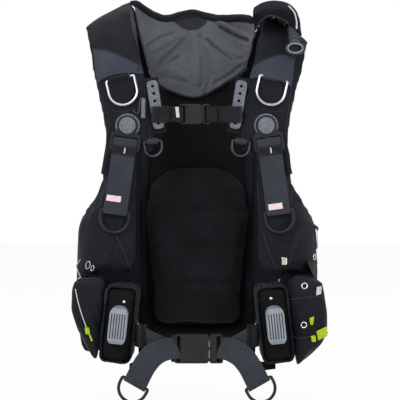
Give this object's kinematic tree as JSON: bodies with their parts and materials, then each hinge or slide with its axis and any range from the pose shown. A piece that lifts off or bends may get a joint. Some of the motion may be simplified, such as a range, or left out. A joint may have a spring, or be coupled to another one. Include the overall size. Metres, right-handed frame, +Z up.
{
  "type": "scuba buoyancy jacket",
  "caption": "Scuba buoyancy jacket with padded shoulders, swivel strap buckles, releasable weight pouches, corrugated inflator, backplate and cam-buckle cylinder band.",
  "frame": {"origin": "middle of the rear saddle of the backplate, where the cylinder is strapped", "axes": "+X to the wearer's left, +Y rearward towards the cylinder, +Z up"},
  "size_m": [0.414, 0.4327, 0.6552],
  "materials": {
    "shell_fabric": "woven nylon",
    "smooth_panel": "smooth laminated nylon",
    "grey_mesh": "spacer mesh",
    "black_mesh": "spacer mesh",
    "webbing": "twill webbing",
    "black_plastic": "moulded acetal",
    "grey_plastic": "moulded nylon",
    "stainless_steel": "polished stainless",
    "black_rubber": "moulded",
    "gloss_plastic": "polished"
  },
  "bodies": {
    "jacket": {"backplate": "black_plastic", "tank_band": "webbing", "cam_buckle_base": "black_plastic", "back_panel": "shell_fabric", "back_pad": "black_mesh", "neck_yoke": "grey_mesh", "collar": "shell_fabric", "waist_socket": "black_plastic", "inflator_flap": "smooth_panel", "inflator_hose": "black_rubber", "inflator_body": "gloss_plastic", "mouthpiece": "black_rubber", "rear_dump_valve": "black_plastic", "wing_l": "shell_fabric", "shoulder_l": "shell_fabric", "pocket_l": "smooth_panel", "holster_l": "shell_fabric", "load_strap_l": "webbing", "waist_strap_l": "webbing", "sternum_rail_l": "grey_plastic", "swivel_base_l": "grey_plastic", "wing_r": "shell_fabric", "shoulder_r": "shell_fabric", "pocket_r": "smooth_panel", "holster_r": "shell_fabric", "load_strap_r": "webbing", "waist_strap_r": "webbing", "sternum_rail_r": "grey_plastic", "swivel_base_r": "grey_plastic"},
    "cam_lever": {"cam_lever": "black_plastic"},
    "sternum_strap": {"sternum_slider_l": "black_plastic", "sternum_slider_r": "black_plastic", "sternum_strap_l": "webbing", "sternum_strap_r": "webbing", "sternum_socket": "black_plastic"},
    "sternum_plug": {"sternum_plug": "black_plastic"},
    "waist_plug": {"waist_plug": "black_plastic"},
    "swivel_l": {"swivel_buckle_l": "black_plastic", "strap_tail_l": "webbing"},
    "tail_ring_l": {"tail_ring_l": "black_plastic"},
    "shoulder_ring_l": {"shoulder_d_ring_l": "stainless_steel"},
    "chest_ring_l": {"chest_d_ring_l": "stainless_steel"},
    "waist_ring_l": {"waist_pull_ring_l": "black_plastic"},
    "weight_l": {"weight_pouch_l": "shell_fabric", "weight_handle_l": "grey_plastic"},
    "swivel_r": {"swivel_buckle_r": "black_plastic", "strap_tail_r": "webbing"},
    "tail_ring_r": {"tail_ring_r": "black_plastic"},
    "shoulder_ring_r": {"shoulder_d_ring_r": "stainless_steel"},
    "chest_ring_r": {"chest_d_ring_r": "stainless_steel"},
    "waist_ring_r": {"waist_pull_ring_r": "black_plastic"},
    "weight_r": {"weight_pouch_r": "shell_fabric", "weight_handle_r": "grey_plastic"},
    "side_ring": {"side_d_ring": "stainless_steel"},
    "inflate_button": {"inflate_button": "grey_plastic"},
    "deflate_button": {"deflate_button": "grey_plastic"},
    "dump_knob": {"dump_knob": "grey_plastic"},
    "dump_toggle": {"dump_toggle": "grey_plastic"},
    "zip_slider": {"zip_slider": "stainless_steel"}
  },
  "joints": [
    {"name": "cam_lever_hinge", "type": "hinge", "parent": "jacket", "child": "cam_lever", "pos_m": [0.025, 0.198, 0.06], "axis": [0, 0, -1], "range_deg": [0, 100]},
    {"name": "sternum_height", "type": "slide", "parent": "jacket", "child": "sternum_strap", "axis": [0, 0, 1], "range_m": [-0.006, 0.024]},
    {"name": "sternum_release", "type": "slide", "parent": "sternum_strap", "child": "sternum_plug", "axis": [1, 0, 0], "range_m": [0, 0.022], "deforming": ["sternum_strap_l"]},
    {"name": "waist_release", "type": "slide", "parent": "jacket", "child": "waist_plug", "axis": [1, 0, 0], "range_m": [0, 0.036], "deforming": ["waist_strap_l"]},
    {"name": "swivel_turn_l", "type": "hinge", "parent": "jacket", "child": "swivel_l", "pos_m": [0.111, -0.1866, 0.168], "axis": [0, -1, 0], "range_deg": [-5, 20], "deforming": ["load_strap_l"]},
    {"name": "tail_ring_hinge_l", "type": "hinge", "parent": "swivel_l", "child": "tail_ring_l", "pos_m": [0.13034, -0.1905, 0.03035], "axis": [-0.9903, 0, -0.1392], "range_deg": [0, 150]},
    {"name": "shoulder_ring_hinge_l", "type": "hinge", "parent": "jacket", "child": "shoulder_ring_l", "pos_m": [0.1235, -0.1827, 0.244], "axis": [-0.9724, 0, 0.2334], "range_deg": [0, 150]},
    {"name": "chest_ring_hinge_l", "type": "hinge", "parent": "jacket", "child": "chest_ring_l", "pos_m": [0.071, -0.188, 0.143], "axis": [-0.995, 0, 0.0995], "range_deg": [0, 120]},
    {"name": "waist_ring_hinge_l", "type": "hinge", "parent": "jacket", "child": "waist_ring_l", "pos_m": [0.097, -0.2198, -0.24], "axis": [-0.8821, 0, -0.4711], "range_deg": [-60, 80]},
    {"name": "weight_release_l", "type": "slide", "parent": "jacket", "child": "weight_l", "axis": [0, -1, 0], "range_m": [0, 0.16]},
    {"name": "swivel_turn_r", "type": "hinge", "parent": "jacket", "child": "swivel_r", "pos_m": [-0.111, -0.1866, 0.168], "axis": [0, 1, 0], "range_deg": [-5, 20], "deforming": ["load_strap_r"]},
    {"name": "tail_ring_hinge_r", "type": "hinge", "parent": "swivel_r", "child": "tail_ring_r", "pos_m": [-0.13034, -0.1905, 0.03035], "axis": [-0.9903, 0, 0.1392], "range_deg": [0, 150]},
    {"name": "shoulder_ring_hinge_r", "type": "hinge", "parent": "jacket", "child": "shoulder_ring_r", "pos_m": [-0.1235, -0.1827, 0.244], "axis": [-0.9724, 0, -0.2334], "range_deg": [0, 150]},
    {"name": "chest_ring_hinge_r", "type": "hinge", "parent": "jacket", "child": "chest_ring_r", "pos_m": [-0.071, -0.188, 0.143], "axis": [-0.995, 0, -0.0995], "range_deg": [0, 120]},
    {"name": "waist_ring_hinge_r", "type": "hinge", "parent": "jacket", "child": "waist_ring_r", "pos_m": [-0.097, -0.2198, -0.24], "axis": [-0.8821, 0, 0.4711], "range_deg": [-60, 80]},
    {"name": "weight_release_r", "type": "slide", "parent": "jacket", "child": "weight_r", "axis": [0, -1, 0], "range_m": [0, 0.16]},
    {"name": "side_ring_hinge", "type": "hinge", "parent": "jacket", "child": "side_ring", "pos_m": [0.1964, -0.122, 0], "axis": [-0.0995, -0.995, 0], "range_deg": [0, 120]},
    {"name": "inflate_press", "type": "slide", "parent": "jacket", "child": "inflate_button", "axis": [0.5057, 0.6989, -0.5057], "range_m": [0, 0.003], "stiffness_N_per_m": 400, "springref_m": -0.002},
    {"name": "deflate_press", "type": "slide", "parent": "jacket", "child": "deflate_button", "axis": [0.5057, 0.6989, -0.5057], "range_m": [0, 0.003], "stiffness_N_per_m": 400, "springref_m": -0.002},
    {"name": "dump_pull", "type": "slide", "parent": "jacket", "child": "dump_knob", "axis": [0, 1, 0], "range_m": [0, 0.008], "stiffness_N_per_m": 200, "springref_m": -0.002},
    {"name": "toggle_pull", "type": "slide", "parent": "jacket", "child": "dump_toggle", "axis": [0, -0.0995, -0.995], "range_m": [0, 0.02], "stiffness_N_per_m": 100, "springref_m": -0.004},
    {"name": "zip_run", "type": "slide", "parent": "jacket", "child": "zip_slider", "axis": [0.3312, 0, 0.9435], "range_m": [0, 0.045]}
  ]
}
